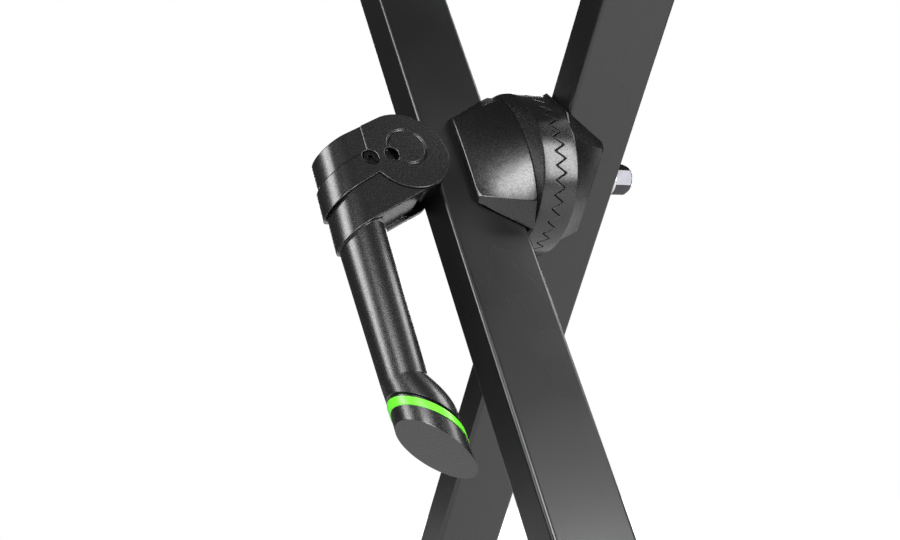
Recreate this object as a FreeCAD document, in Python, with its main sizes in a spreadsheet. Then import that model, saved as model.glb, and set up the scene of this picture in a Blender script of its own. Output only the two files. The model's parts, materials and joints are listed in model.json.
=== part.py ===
import FreeCAD, Part
import math
import os
import re
import Sketcher

# Folding X-type keyboard stand.  Millimetres, +Z up, origin on the floor below the axle.
# The front leg leans to -X at its top and stands on the -Y side of the clutch.  The rear
# leg is the same leg turned half a turn about Z.  A leg's own frame has its origin on the
# axle, +Z up the leg, +X out of the leg's wide face and +Y along the axle.

SIZES = [
    # legs
    ("leg_width", 40.0),          # wide side of the tube, along the axle
    ("leg_thick", 20.0),          # narrow side of the tube
    ("leg_wall", 1.5),
    ("leg_corner", 2.0),          # outer corner radius
    ("leg_gap", 12.0),            # axle's middle plane to the leg's inner narrow face
    ("half_angle", 32.0),         # each leg from the vertical, as photographed
    ("axle_to_bar", 500.0),       # along the leg, axle to the cross bar's centre
    ("bar_beyond", 20.0),         # bar centre beyond the end of the leg
    ("bar_offset", 30.0),         # bar centre beside the leg's middle plane
    ("slip", 0.05),               # fitted pieces, per side
    ("run_gap", 0.08),            # shaft in its bush, radial
    ("free_gap", 0.30),           # hole around a shaft that it does not guide, radial
    # cross bars
    ("bar_dia", 30.0),
    ("bar_wall", 1.5),
    ("foot_length", 420.0),
    ("arm_length", 380.0),
    # bar joints
    ("joint_wall", 3.0),
    ("joint_depth", 42.0),        # how far the socket grips the leg
    ("joint_width", 48.0),        # along the axle
    ("sleeve_wall", 3.95),
    ("sleeve_length", 56.0),
    ("web_width", 40.0),
    ("joint_round", 1.5),
    ("bolt_dia", 6.0),
    ("bolt_inset", 20.0),         # joint bolt from the end of the leg
    ("bolt_head_dia", 10.5),
    ("bolt_head_high", 3.3),
    ("bolt_socket", 4.0),         # hexagon key size
    ("nut_flats", 10.0),
    ("nut_high", 5.0),
    ("set_screw_dia", 6.0),
    ("set_screw_socket", 3.0),
    # feet, pads and stops
    ("foot_cap_wall", 5.95),
    ("foot_cap_length", 40.0),
    ("cap_end_wall", 6.0),
    ("tread_depth", 0.8),         # flat under each foot cap
    ("cap_round", 3.0),
    ("pad_length", 80.0),
    ("pad_wide", 32.0),
    ("pad_high", 18.0),           # pad top above the bar's centre
    ("pad_place", 110.0),         # pad's middle from the arm's middle
    ("pad_round", 3.0),
    ("stop_wall", 3.45),
    ("stop_length", 26.0),
    ("lip_wide", 20.0),
    ("lip_high", 36.0),           # lip's top above the bar's centre
    ("lip_thick", 8.0),
    # clutch
    ("clutch_dia", 80.0),
    ("clutch_half", 9.6),         # middle plane to the back of a toothed ring
    ("clutch_web", 3.6),
    ("clutch_rim", 9.0),          # radial width of the toothed rim
    ("tooth_count", 36),
    ("tooth_reach", 2.3),         # tooth tips beyond the middle plane
    ("tooth_root", 2.75),         # tooth roots behind the middle plane
    ("tooth_half", 3.3),          # half a groove's width at the tips
    ("tooth_phase", 2.0),         # first groove of the front ring, degrees
    # clutch bodies
    ("body_grip", 23.5),          # overlap along the leg's wide faces
    ("body_lip", 0.8),            # least wall beside the leg
    ("body_front_end", 25.0),     # half length where the body begins
    ("body_front_flat", 23.0),
    ("body_front_wide", 13.5),
    ("body_rear_end", 40.5),      # half length at the toothed ring
    ("body_rear_flat", 31.0),
    ("body_rear_wide", 21.0),
    ("body_rear_crown", 28.5),
    # axle
    ("axle_dia", 8.0),
    ("bush_wall", 2.0),
    ("eye_dia", 13.0),
    ("eye_wide", 8.6),
    ("pin_dia", 6.0),
    ("pin_recess", 1.3),          # pin ends below the head's faces
    ("pin_out", 22.0),            # cross pin in front of the front leg
    ("washer_dia", 17.0),
    ("washer_thick", 1.6),
    ("cap_nut_flats", 14.0),
    ("cap_nut_high", 12.5),
    ("cap_nut_dome", 10.3),       # radius that rounds the outer end
    ("cap_nut_centre", 3.0),      # that radius's centre from the seat
    ("spring_dia", 22.0),
    ("spring_wall", 2.0),
    # cam and its saddle
    ("cam_throw", 8.8),           # nose's centre behind the cross pin
    ("cam_nose", 9.0),            # radius that bears on the saddle
    ("cam_heel", 6.5),            # radius round the cross pin
    ("cam_gap", 0.7),             # nose to saddle, closed
    ("saddle_wide", 19.0),
    ("saddle_long", 21.0),
    ("saddle_round", 2.0),
    # lever head
    ("cheek_dia", 43.0),
    ("cheek_out", 13.6),          # cheek disc's centre ahead of the front leg
    ("cheek_up", 2.3),            # and above the cross pin
    ("head_half", 13.6),          # half width of the head over its cheeks
    ("slot_half", 10.4),          # half width between the cheeks
    ("slot_back", 7.0),           # slot's end ahead of the cross pin
    ("slot_deep", 11.8),          # the same above the bolt's eye
    ("head_front", 56.7),         # head's front ahead of the front leg
    ("plate_front", 34.0),        # front edge of the cheek plates, likewise
    ("cap_tier_half", 13.0),      # upper tier, half width and front radius
    ("cap_tier_back", 1.15),      # upper tier's front behind the head's front
    ("top_angle", 28.4),
    ("cap_angle", 30.0),
    ("seam_angle", 31.8),
    ("lip_angle", 28.8),
    ("cap_level", 11.8),          # heights of the tier planes at the head's front
    ("seam_level", 26.9),
    ("lip_level", 45.6),
    ("recess_dia", 20.0),
    ("recess_out", 13.0),         # recessed ring's centre ahead of the front leg
    ("recess_up", 4.5),
    ("recess_deep", 0.6),
    ("pin_hole_dia", 7.2),
    ("screw_dia", 4.0),
    ("screw_head_dia", 7.0),
    ("screw_head_high", 3.0),
    ("screw_back", 11.3),         # head screw in front of the cross pin
    ("screw_down", 2.5),
    # lever grip
    ("neck_half", 13.0),          # grip's neck: half width and front radius
    ("neck_back", 2.1),
    ("joint_gap", 0.25),          # neck to cheek disc
    ("web_out", 7.5),             # web's rear face ahead of the front leg
    ("web_top", 16.0),            # web's top below the cross pin
    ("web_half", 10.0),
    ("web_recess", 2.0),
    ("tenon_half", 6.0),
    ("tenon_back", 8.0),          # tenon's rear ahead of the cross pin
    ("tenon_inset", 7.0),
    ("tenon_high", 29.9),
    ("grip_top_dia", 23.6),
    ("grip_low_dia", 20.4),
    ("grip_out", 41.85),          # grip's axis ahead of the front leg
    ("grip_low_in", 1.3),         # its lower end stands this much closer
    ("flare_start", 112.0),       # below the axle
    ("flare_long", 20.0),
    ("flare_rear", 3.7),          # how much the end swells along the axle
    ("flare_side", 2.9),          # and across it
    ("flare_shift", 5.0),
    ("ring_angle", 28.8),
    ("face_angle", 40.4),
    ("end_front", 51.6),          # front of the end ahead of the front leg
    ("ring_top", 122.2),          # planes at the front of the grip's end
    ("ring_thick", 3.6),
    ("end_face", 129.1),
    ("ring_proud", 0.35),
    ("spigot_dia", 10.0),
]

doc = FreeCAD.newDocument("keyboard_stand")
sheet = doc.addObject("Spreadsheet::Sheet", "Sizes")
for row, (alias, amount) in enumerate(SIZES, start=1):
    sheet.set("A%d" % row, alias)
    sheet.set("B%d" % row, str(amount))
    sheet.setAlias("B%d" % row, alias)
scratch = doc.addObject("Spreadsheet::Sheet", "Scratch")
doc.recompute()

ALIASES = set(alias for alias, amount in SIZES)
X_AXIS = FreeCAD.Vector(1, 0, 0)
Y_AXIS = FreeCAD.Vector(0, 1, 0)
Z_AXIS = FreeCAD.Vector(0, 0, 1)
FAR = 400.0                       # longer than any piece that a cutting block has to pass
nodes = []


def cells(expression):
    """The expression with each size name turned into its cell of the sheet."""
    def cell(match):
        word = match.group(0)
        return "Sizes." + word if word in ALIASES else word
    return re.sub(r"[a-z_]+", cell, str(expression))


def number(expression):
    scratch.set("A1", "=" + cells(expression))
    scratch.recompute()
    return float(scratch.get("A1"))


def bind(item, **properties):
    """Binds properties of an object to expressions in the size names."""
    for prop, expression in properties.items():
        item.setExpression(prop, cells(expression))


def moved(x=0, y=0, z=0, axis=Z_AXIS, angle=0):
    """A placement from expressions."""
    base = FreeCAD.Vector(number(x), number(y), number(z))
    return FreeCAD.Placement(base, FreeCAD.Rotation(axis, number(angle)))


def node(item, name, placement):
    """Gives a finished piece its name and its place in the stand."""
    item.Label = name
    item.Placement = placement
    nodes.append(item)
    return item


# ---------------------------------------------------------------- sketches and features

def new_sketch(body, name, plane, offset="0"):
    sketch = body.newObject("Sketcher::SketchObject", name)
    support = [item for item in body.Origin.OriginFeatures if item.Role == plane][0]
    sketch.AttachmentSupport = [(support, "")]
    sketch.MapMode = "FlatFace"
    sketch.setExpression("AttachmentOffset.Base.z", cells(offset))
    return sketch


def fix_point(sketch, index, end, x, y):
    """Fixes a point of the sketch at two expressions, measured from its origin."""
    for kind, expression in (("DistanceX", x), ("DistanceY", y)):
        place = sketch.addConstraint(
            Sketcher.Constraint(kind, -1, 1, index, end, number(expression)))
        label = "%s_%d" % (kind, place)
        sketch.renameConstraint(place, label)
        sketch.setExpression("Constraints." + label, cells(expression))


def add_circle(sketch, x, y, diameter):
    centre = FreeCAD.Vector(number(x), number(y), 0)
    index = sketch.addGeometry(Part.Circle(centre, Z_AXIS, number(diameter) / 2))
    place = sketch.addConstraint(Sketcher.Constraint("Diameter", index, number(diameter)))
    label = "Diameter_%d" % place
    sketch.renameConstraint(place, label)
    sketch.setExpression("Constraints." + label, cells(diameter))
    fix_point(sketch, index, 3, x, y)


def add_outline(sketch, corners):
    """A closed outline.  A corner (x, y) starts a straight side, and a corner
    (x, y, via_x, via_y) starts an arc that passes through the via point."""
    count = len(corners)
    spots = [FreeCAD.Vector(number(c[0]), number(c[1]), 0) for c in corners]
    sides = []
    for step, corner in enumerate(corners):
        start = spots[step]
        end = spots[(step + 1) % count]
        if len(corner) == 2:
            sides.append((sketch.addGeometry(Part.LineSegment(start, end)), 1, 2))
            continue
        via = FreeCAD.Vector(number(corner[2]), number(corner[3]), 0)
        arc = Part.Arc(start, via, end)
        index = sketch.addGeometry(arc)
        centre = arc.toShape().Curve.Center
        turn = (start - centre).cross(via - centre).z
        ends = (1, 2) if turn > 0 else (2, 1)
        sides.append((index, ends[0], ends[1]))
        point = sketch.addGeometry(Part.Point(via), True)
        fix_point(sketch, point, 1, corner[2], corner[3])
        sketch.addConstraint(Sketcher.Constraint("PointOnObject", point, 1, index))
    for step in range(count):
        index, first, last = sides[step]
        after, after_first, after_last = sides[(step + 1) % count]
        sketch.addConstraint(
            Sketcher.Constraint("Coincident", index, last, after, after_first))
        fix_point(sketch, index, first, corners[step][0], corners[step][1])


def add_rectangle(sketch, low_x, low_y, high_x, high_y):
    add_outline(sketch, [(low_x, low_y), (high_x, low_y), (high_x, high_y), (low_x, high_y)])


def pad(body, sketch, length, symmetric=True):
    feature = body.newObject("PartDesign::Pad", sketch.Name + "_pad")
    feature.Profile = sketch
    feature.SideType = "Symmetric" if symmetric else "One side"
    bind(feature, Length=length)
    return feature


def cut_through(body, sketch):
    feature = body.newObject("PartDesign::Pocket", sketch.Name + "_cut")
    feature.Profile = sketch
    feature.SideType = "Symmetric"
    feature.Type = "ThroughAll"
    return feature


def upright_edges(feature):
    """Names of a feature's edges along its Z."""
    found = []
    for index, edge in enumerate(feature.Shape.Edges, start=1):
        box = edge.BoundBox
        if box.XLength < 1e-6 and box.YLength < 1e-6 and box.ZLength > 1.0:
            found.append("Edge%d" % index)
    return found


# ---------------------------------------------------------------- primitives

def cylinder(name, radius, height, placement):
    item = doc.addObject("Part::Cylinder", name)
    bind(item, Radius=radius, Height=height)
    item.Placement = placement
    return item


def block(name, low, high):
    """A box between two corners, each three expressions."""
    item = doc.addObject("Part::Box", name)
    sides = ["(%s) - (%s)" % (far, near) for near, far in zip(low, high)]
    bind(item, Length=sides[0], Width=sides[1], Height=sides[2])
    for letter, near in zip("xyz", low):
        item.setExpression("Placement.Base." + letter, cells(near))
    return item


def join(name, items):
    item = doc.addObject("Part::MultiFuse", name)
    item.Shapes = items
    item.Refine = True
    return item


def common(name, items):
    item = doc.addObject("Part::MultiCommon", name)
    item.Shapes = items
    return item


def cut(name, base, tool):
    item = doc.addObject("Part::Cut", name)
    item.Base = base
    item.Tool = tool
    return item


def group(name, items):
    item = doc.addObject("Part::Compound", name)
    item.Links = items
    return item


def along_y(x="0", y="0", z="0"):
    """Turns a primitive's own Z to +Y."""
    return moved(x, y, z, X_AXIS, -90)


def along_x(x="0", y="0", z="0"):
    """Turns a primitive's own Z to +X."""
    return moved(x, y, z, Y_AXIS, 90)


def tube(name, outer, inner, length, placement):
    """A plain tube or ring along its placement's Z."""
    solid = cylinder(name + "_outside", outer, length, placement)
    bore = cylinder(name + "_bore", inner, length, placement)
    return cut(name + "_tube", solid, bore)


def hex_socket(name, flats, depth, placement):
    item = doc.addObject("Part::Prism", name)
    item.Polygon = 6
    bind(item, Circumradius="(%s) / sqrt(3)" % flats, Height=depth)
    item.Placement = placement
    return item


# ---------------------------------------------------------------- places in the stand

LEG_CENTRE = "(leg_gap + leg_width / 2)"
LEG_END = "(axle_to_bar - bar_beyond)"
LEG_FRONT = "(leg_gap + leg_width)"

BAR_X = "(axle_to_bar * sin(half_angle) + bar_offset * cos(half_angle))"
BAR_DROP = "(axle_to_bar * cos(half_angle) - bar_offset * sin(half_angle))"
SLEEVE_DIA = "(bar_dia + 2 * slip + 2 * sleeve_wall)"
FOOT_CAP_DIA = "(bar_dia + 2 * slip + 2 * foot_cap_wall)"
AXLE_HEIGHT = "(" + BAR_DROP + " + " + FOOT_CAP_DIA + " / 2 - tread_depth)"

half_turn = FreeCAD.Placement(FreeCAD.Vector(0, 0, 0), FreeCAD.Rotation(Z_AXIS, 180))
top_end = FreeCAD.Placement(FreeCAD.Vector(0, 0, 0), FreeCAD.Rotation(Y_AXIS, 180))
at_axle = moved(z=AXLE_HEIGHT)
front_leg = moved(z=AXLE_HEIGHT, axis=Y_AXIS, angle="-half_angle")
rear_leg = at_axle.multiply(half_turn).multiply(moved(axis=Y_AXIS, angle="-half_angle"))

SIDES = {"front": front_leg, "rear": rear_leg}
LEVEL = {"front": at_axle, "rear": at_axle.multiply(half_turn)}


# ---------------------------------------------------------------- legs and bars

def make_leg(side):
    body = doc.addObject("PartDesign::Body", "leg_" + side)
    outside = new_sketch(body, "leg_outside_" + side, "XY_Plane")
    half = "leg_thick / 2"
    add_rectangle(outside, "-" + half, "-" + LEG_FRONT, half, "-leg_gap")
    tube_pad = pad(body, outside, "2 * " + LEG_END)
    doc.recompute()
    corners = body.newObject("PartDesign::Fillet", "leg_corners_" + side)
    corners.Base = (tube_pad, upright_edges(tube_pad))
    bind(corners, Radius="leg_corner")
    doc.recompute()
    inside = new_sketch(body, "leg_inside_" + side, "XY_Plane")
    inner = "(leg_thick / 2 - leg_wall)"
    add_rectangle(inside, "-" + inner, "-" + LEG_FRONT + " + leg_wall",
                  inner, "-leg_gap - leg_wall")
    cut_through(body, inside)
    holes = new_sketch(body, "leg_holes_" + side, "XZ_Plane")
    add_circle(holes, "0", "0", "axle_dia + 2 * run_gap + 2 * bush_wall + 2 * slip")
    for sign in ("", "-"):
        add_circle(holes, "0", sign + "(" + LEG_END + " - bolt_inset)",
                   "bolt_dia + 2 * free_gap")
    cut_through(body, holes)
    return node(body, "leg_tube_" + side, SIDES[side])


def make_bar(kind, side):
    """A cross bar lies level along Y, at the foot or at the top of its leg."""
    length = kind + "_length"
    name = kind + "_bar_" + side
    place = along_y(y="-%s / 2" % length)
    item = tube(name, "bar_dia / 2", "bar_dia / 2 - bar_wall", length, place)
    return node(item, name, bar_place(kind, side))


def bar_place(kind, side):
    """The middle of a level bar: feet stand out to +X of the front leg, arms to -X."""
    sign = "" if kind == "foot" else "-"
    down = "-" if kind == "foot" else ""
    return LEVEL[side].multiply(moved(sign + BAR_X, 0, down + BAR_DROP))


def make_joint(kind, side):
    """Moulded joint: a socket over the leg's end beside a sleeve round the bar.
    Drawn for the foot, and turned half a turn for the arm."""
    name = kind + "_joint_" + side
    body = doc.addObject("PartDesign::Body", name)
    outer = "(leg_thick / 2 + joint_wall)"
    middle = LEG_CENTRE
    top = "(-" + LEG_END + " + joint_depth)"
    bottom = "(-" + LEG_END + " - joint_wall)"

    shell = new_sketch(body, name + "_block", "XZ_Plane", middle)
    add_rectangle(shell, "-" + outer, bottom, outer, top)
    shell_pad = pad(body, shell, "joint_width")
    doc.recompute()
    rounds = body.newObject("PartDesign::Fillet", name + "_round")
    rounds.Base = (shell_pad, upright_edges(shell_pad))
    bind(rounds, Radius="joint_round * 2")
    doc.recompute()

    web = new_sketch(body, name + "_web", "XZ_Plane", middle)
    lean = SLEEVE_DIA + " / 2 * 0.6"
    rise = SLEEVE_DIA + " / 2 * 0.8"
    add_outline(web, [
        ("-%s + joint_wall" % outer, bottom),
        ("bar_offset - %s" % lean, "-axle_to_bar - " + rise),
        ("bar_offset", "-axle_to_bar"),
        ("bar_offset + %s" % lean, "-axle_to_bar + " + rise),
        (outer + " - slip", top + " - joint_wall * 2"),
    ])
    pad(body, web, "web_width")

    sleeve = new_sketch(body, name + "_sleeve", "XZ_Plane", middle)
    add_circle(sleeve, "bar_offset", "-axle_to_bar", SLEEVE_DIA)
    pad(body, sleeve, "sleeve_length")

    socket = new_sketch(body, name + "_socket", "XZ_Plane", middle)
    half = "(leg_thick / 2 + slip)"
    add_rectangle(socket, "-" + half, "-" + LEG_END, half, top + " + 1")
    hollow = body.newObject("PartDesign::Pocket", name + "_hollow")
    hollow.Profile = socket
    hollow.SideType = "Symmetric"
    bind(hollow, Length="leg_width + 2 * slip")

    bores = new_sketch(body, name + "_bores", "XZ_Plane", middle)
    add_circle(bores, "bar_offset", "-axle_to_bar", "bar_dia + 2 * slip")
    add_circle(bores, "0", "-" + LEG_END + " + bolt_inset", "bolt_dia + 2 * free_gap")
    cut_through(body, bores)

    grub = new_sketch(body, name + "_grub", "XY_Plane", "-axle_to_bar - " + SLEEVE_DIA)
    add_circle(grub, "bar_offset", "-" + middle, "set_screw_dia + 2 * slip")
    hole = body.newObject("PartDesign::Pocket", name + "_hole")
    hole.Profile = grub
    hole.Reversed = True
    bind(hole, Length=SLEEVE_DIA)
    place = SIDES[side] if kind == "foot" else SIDES[side].multiply(top_end)
    return node(body, name, place)


def make_joint_bolts(side):
    """One button-head bolt and one nut through each of the leg's two joints."""
    front = "(-%s - joint_width / 2)" % LEG_CENTRE
    bolts = []
    nuts = []
    for number_, sign in enumerate(("", "-"), start=1):
        tag = "%s_%d" % (side, number_)
        height = sign + "(" + LEG_END + " - bolt_inset)"
        head = cylinder("bolt_head_" + tag, "bolt_head_dia / 2", "bolt_head_high",
                        along_y("0", front + " - bolt_head_high", height))
        shank = cylinder("bolt_shank_" + tag, "bolt_dia / 2",
                         "joint_width + nut_high + 1", along_y("0", front, height))
        key = hex_socket("bolt_key_" + tag, "bolt_socket", "bolt_head_high / 2 + 0.5",
                         along_y("0", front + " - bolt_head_high", height))
        solid = join("bolt_solid_" + tag, [head, shank])
        bolts.append(cut("bolt_" + tag, solid, key))
        rear = front + " + joint_width"
        hexagon = hex_socket("nut_hex_" + tag, "nut_flats", "nut_high",
                             along_y("0", rear, height))
        hole = cylinder("nut_hole_" + tag, "bolt_dia / 2 + slip", "nut_high",
                        along_y("0", rear, height))
        nuts.append(cut("nut_" + tag, hexagon, hole))
    node(group("bolts_" + side, bolts), "joint_bolts_" + side, SIDES[side])
    node(group("nuts_" + side, nuts), "joint_nuts_" + side, SIDES[side])


def make_set_screws(side):
    """A grub screw under each sleeve holds the bar."""
    screws = []
    length = "sleeve_wall"
    for kind, sign in (("foot", 1), ("arm", -1)):
        tag = kind + "_" + side
        offset = "bar_offset" if sign > 0 else "-bar_offset"
        low = "axle_to_bar + bar_dia / 2 + slip"
        end = low + " + sleeve_wall * 0.4"
        if sign > 0:
            low = "-axle_to_bar - %s / 2" % SLEEVE_DIA
            end = low
        stem = cylinder("grub_" + tag, "set_screw_dia / 2", length,
                        moved(offset, "-" + LEG_CENTRE, low))
        key = hex_socket("grub_key_" + tag, "set_screw_socket", length + " * 0.6",
                         moved(offset, "-" + LEG_CENTRE, end))
        screws.append(cut("grub_screw_" + tag, stem, key))
    node(group("grubs_" + side, screws), "set_screws_" + side, SIDES[side])


# ---------------------------------------------------------------- rubber pieces

def make_foot_caps(side):
    """A cup over each end of the foot bar, with a small flat where it stands."""
    caps = []
    for number_, turn in enumerate((0, 180), start=1):
        tag = "%s_%d" % (side, number_)
        end = "(foot_length / 2 + cap_end_wall)"
        cup = cylinder("foot_cup_" + tag, FOOT_CAP_DIA + " / 2", "foot_cap_length",
                       along_y(y="-" + end))
        rounded = doc.addObject("Part::Fillet", "foot_round_" + tag)
        rounded.Base = cup
        doc.recompute()
        edges = []
        for index, edge in enumerate(cup.Shape.Edges, start=1):
            if edge.Closed and edge.BoundBox.YLength < 1e-6:
                edges.append((index, number("cap_round"), number("cap_round")))
        rounded.Edges = edges
        bore = cylinder("foot_bore_" + tag, "bar_dia / 2 + slip", "foot_cap_length",
                        along_y(y="-foot_length / 2"))
        tread = block("foot_tread_" + tag,
                      ["-bar_dia", "-" + end + " - 1", "-" + FOOT_CAP_DIA],
                      ["bar_dia", "-" + end + " + foot_cap_length + 1",
                       "-%s / 2 + tread_depth" % FOOT_CAP_DIA])
        hollow = join("foot_waste_" + tag, [bore, tread])
        cap = cut("foot_cap_" + tag, rounded, hollow)
        cap.Placement = FreeCAD.Placement(FreeCAD.Vector(), FreeCAD.Rotation(Z_AXIS, turn))
        caps.append(cap)
    node(group("foot_caps_" + side, caps), "foot_caps_" + side, bar_place("foot", side))


def make_arm_pads(side):
    """Two flat-topped rubber pads round each arm."""
    pads = []
    for number_, sign in enumerate(("-", ""), start=1):
        tag = "%s_%d" % (side, number_)
        body = doc.addObject("PartDesign::Body", "pad_" + tag)
        middle = "%spad_place" % ("" if sign == "-" else "-")
        outline = new_sketch(body, "pad_outline_" + tag, "XZ_Plane", middle)
        half = "pad_wide / 2"
        low = "(bar_dia / 2 + pad_round)"
        add_outline(outline, [
            (half, "0"),
            (half, "pad_high - pad_round"),
            (half + " - pad_round", "pad_high"),
            ("-%s + pad_round" % half, "pad_high"),
            ("-" + half, "pad_high - pad_round"),
            ("-" + half, "0", "0", "-" + low),
        ])
        pad(body, outline, "pad_length")
        bore = new_sketch(body, "pad_bore_" + tag, "XZ_Plane", middle)
        add_circle(bore, "0", "0", "bar_dia + 2 * slip")
        cut_through(body, bore)
        pads.append(body)
    node(group("pads_" + side, pads), "arm_pads_" + side, bar_place("arm", side))


def make_arm_stops(side):
    """A cap with a raised lip on each end of the arm."""
    stops = []
    for number_, turn in enumerate((0, 180), start=1):
        tag = "%s_%d" % (side, number_)
        end = "(arm_length / 2 + cap_end_wall)"
        outer = "bar_dia / 2 + slip + stop_wall"
        cup = cylinder("stop_cup_" + tag, outer, "stop_length", along_y(y="-" + end))
        lip = block("stop_lip_" + tag, ["-lip_wide / 2", "-" + end, "0"],
                    ["lip_wide / 2", "-" + end + " + lip_thick", "lip_high - lip_wide / 2"])
        crown = cylinder("stop_crown_" + tag, "lip_wide / 2", "lip_thick",
                         along_y(y="-" + end, z="lip_high - lip_wide / 2"))
        solid = join("stop_solid_" + tag, [cup, lip, crown])
        bore = cylinder("stop_bore_" + tag, "bar_dia / 2 + slip", "stop_length",
                        along_y(y="-arm_length / 2"))
        stop = cut("stop_" + tag, solid, bore)
        stop.Placement = FreeCAD.Placement(FreeCAD.Vector(), FreeCAD.Rotation(Z_AXIS, turn))
        stops.append(stop)
    node(group("stops_" + side, stops), "arm_stops_" + side, bar_place("arm", side))


# ---------------------------------------------------------------- clutch

def make_clutch_body(side):
    """Saddle casting: grips the leg's wide faces and swells to the toothed ring."""
    name = "clutch_body_" + side
    body = doc.addObject("PartDesign::Body", name)
    base = "(leg_thick / 2 + body_lip)"

    def section(label, offset, end, flat, wide, crown):
        sketch = new_sketch(body, label, "XZ_Plane", offset)
        add_outline(sketch, [
            (base, "-" + end),
            (wide, "-" + flat, crown, "0"),
            (wide, flat),
            (base, end),
            ("-" + base, end),
            ("-" + wide, flat, "-" + crown, "0"),
            ("-" + wide, "-" + flat),
            ("-" + base, "-" + end),
        ])
        return sketch

    start = section(name + "_start", "leg_gap + body_grip", "body_front_end",
                    "body_front_flat", "body_front_wide", "(body_front_wide + 0.4)")
    finish = section(name + "_finish", "clutch_half", "body_rear_end",
                     "body_rear_flat", "body_rear_wide", "body_rear_crown")
    loft = body.newObject("PartDesign::AdditiveLoft", name + "_loft")
    loft.Profile = start
    loft.Sections = [finish]
    loft.Ruled = True
    doc.recompute()

    channel = new_sketch(body, name + "_channel", "XY_Plane")
    half = "(leg_thick / 2 + slip)"
    add_rectangle(channel, "-" + half, "-" + LEG_FRONT, half, "-leg_gap")
    cut_through(body, channel)
    bore = new_sketch(body, name + "_bore", "XZ_Plane")
    add_circle(bore, "0", "0", "axle_dia + 2 * free_gap")
    cut_through(body, bore)
    return node(body, name, SIDES[side])


def make_toothed_ring(name, bore_gap, placement):
    """Face-toothed ring on Z: tips beyond the middle plane z = 0, web at the back."""
    body = doc.addObject("PartDesign::Body", name)
    profile = new_sketch(body, name + "_profile", "XZ_Plane")
    bore = "(axle_dia / 2 + %s)" % bore_gap
    rim = "(clutch_dia / 2 - clutch_rim)"
    web = "(clutch_half - clutch_web)"
    add_outline(profile, [
        (bore, web),
        (rim, web),
        (rim, "-tooth_reach"),
        ("clutch_dia / 2", "-tooth_reach"),
        ("clutch_dia / 2", "clutch_half"),
        (bore, "clutch_half"),
    ])
    turned = body.newObject("PartDesign::Revolution", name + "_turned")
    turned.Profile = profile
    turned.ReferenceAxis = (profile, ["V_Axis"])
    turned.Angle = 360
    doc.recompute()

    groove = new_sketch(body, name + "_groove", "YZ_Plane")
    rise = "(tooth_reach + tooth_root)"
    spread = "(tooth_half * (%s + 1) / %s)" % (rise, rise)
    add_outline(groove, [
        ("0", "tooth_root"),
        (spread, "-tooth_reach - 1"),
        ("-" + spread, "-tooth_reach - 1"),
    ])
    first = body.newObject("PartDesign::Pocket", name + "_first")
    first.Profile = groove
    first.Reversed = True
    bind(first, Length="clutch_dia")
    doc.recompute()
    pattern = body.newObject("PartDesign::PolarPattern", name + "_teeth")
    pattern.Originals = [first]
    axis = [item for item in body.Origin.OriginFeatures if item.Role == "Z_Axis"][0]
    pattern.Axis = (axis, [""])
    pattern.Angle = 360
    bind(pattern, Occurrences="tooth_count")
    body.Tip = pattern
    return node(body, name, placement)


def make_bush(side):
    """Spacer bush through the hollow leg, so that the clamp cannot crush the tube."""
    name = "axle_bush_" + side
    inner = "axle_dia / 2 + run_gap"
    item = tube(name, inner + " + bush_wall", inner, "leg_width",
                along_y(y="-" + LEG_FRONT))
    return node(item, name, SIDES[side])


def make_release_spring():
    """Compression spring between the two rings, hidden by them, as its plain sleeve."""
    free = "(clutch_half - clutch_web)"
    item = tube("release_spring", "spring_dia / 2", "spring_dia / 2 - spring_wall",
                "2 * " + free, along_y(y="-" + free))
    return node(item, "release_spring", at_axle)


# ---------------------------------------------------------------- axle and cam

PIN_Y = "(-%s - pin_out)" % LEG_FRONT
CAM_Y = "(%s + cam_throw)" % PIN_Y
SADDLE_FRONT = "(%s + cam_nose + cam_gap)" % CAM_Y


def make_axle_bolt():
    eye = cylinder("bolt_eye", "eye_dia / 2", "eye_wide", along_x("-eye_wide / 2", PIN_Y))
    reach = "(%s + washer_thick + cap_nut_high * 0.75)" % LEG_FRONT
    shank = cylinder("bolt_stem", "axle_dia / 2", "%s - %s" % (reach, PIN_Y),
                     along_y(y=PIN_Y))
    solid = join("bolt_with_eye", [eye, shank])
    hole = cylinder("bolt_eye_hole", "pin_dia / 2 + slip", "eye_wide",
                    along_x("-eye_wide / 2", PIN_Y))
    return node(cut("axle_bolt_cut", solid, hole), "axle_bolt", front_leg)


def make_cross_pin():
    half = "(head_half - pin_recess)"
    place = front_leg.multiply(along_x("-" + half, PIN_Y))
    return node(cylinder("cross_pin_stem", "pin_dia / 2", "2 * " + half, place),
                "cross_pin", place)


def make_washer_and_nut():
    rear = LEG_FRONT
    washer = tube("rear_washer", "washer_dia / 2", "axle_dia / 2 + slip", "washer_thick",
                  along_y(y=rear))
    node(washer, "rear_washer", front_leg)
    seat = "(%s + washer_thick)" % rear
    hexagon = hex_socket("cap_nut_hexagon", "cap_nut_flats", "cap_nut_high", along_y(y=seat))
    dome = doc.addObject("Part::Sphere", "cap_nut_round")
    bind(dome, Radius="cap_nut_dome")
    dome.Placement = along_y(y=seat + " + cap_nut_centre")
    solid = common("cap_nut_solid", [hexagon, dome])
    bore = cylinder("cap_nut_bore", "axle_dia / 2 + slip", "cap_nut_high * 0.75 + 0.5",
                    along_y(y=seat))
    node(cut("cap_nut_cut", solid, bore), "cap_nut", front_leg)


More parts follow.
